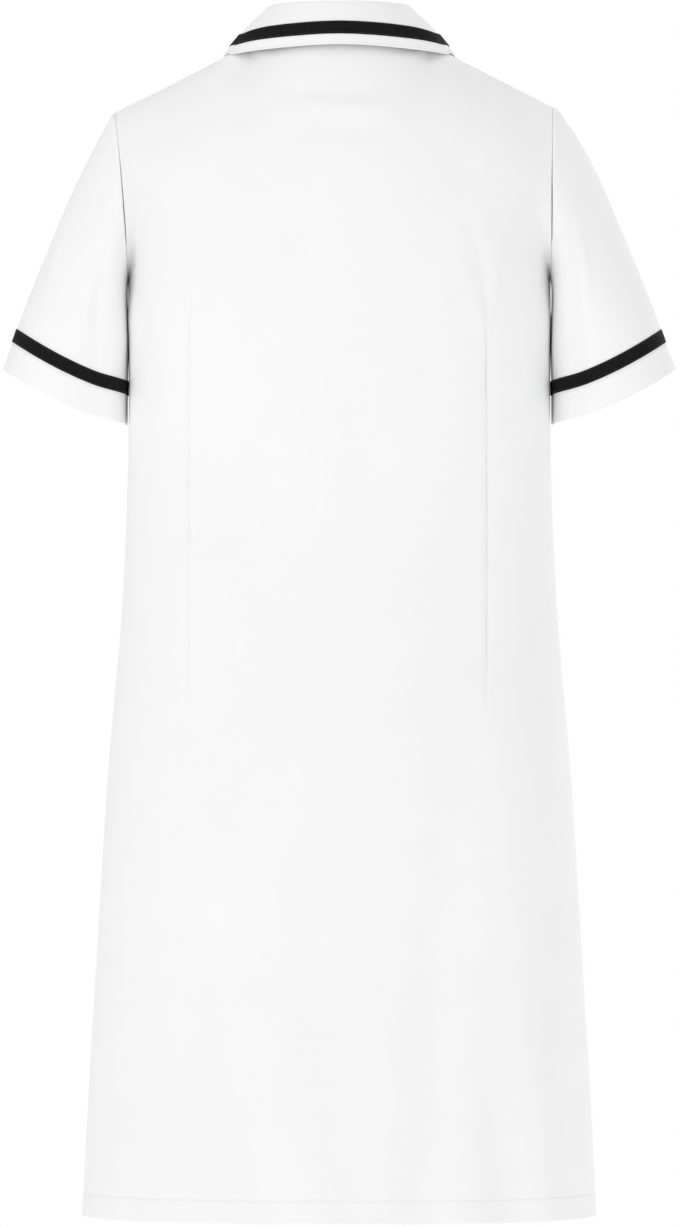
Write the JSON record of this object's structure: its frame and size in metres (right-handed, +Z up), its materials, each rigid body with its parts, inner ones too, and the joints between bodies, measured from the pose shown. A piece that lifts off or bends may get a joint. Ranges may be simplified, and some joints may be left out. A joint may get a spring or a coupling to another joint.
{
  "type": "nurse uniform dress",
  "caption": "White short-sleeved nurse uniform dress, slightly A-line, with back darts, a turned-down collar and black tape bands, hollow as when worn.",
  "frame": {"origin": "between the two shoulder-neck points, at their level, where the wearer's shoulders carry the dress", "axes": "+Z up, -Y out of the front (the buttoned side), +X to the wearer's left"},
  "size_m": [0.5818, 0.2917, 1.0506],
  "materials": {
    "white_cloth": "white polycotton twill, matt, smoothly pressed",
    "black_tape": "black woven cotton tape, matt, edge-stitched",
    "white_button": "white moulded four-hole button, soft gloss"
  },
  "bodies": {
    "root": {"back": "white_cloth", "front_left": "white_cloth", "front_right": "white_cloth", "sleeve_left": "white_cloth", "sleeve_right": "white_cloth", "collar": "white_cloth", "collar_band": "black_tape", "cuff_band_left": "black_tape", "cuff_band_right": "black_tape", "button_1": "white_button", "button_2": "white_button", "button_3": "white_button", "button_4": "white_button", "button_5": "white_button", "button_6": "white_button", "button_7": "white_button", "button_8": "white_button", "button_9": "white_button"}
  },
  "joints": []
}
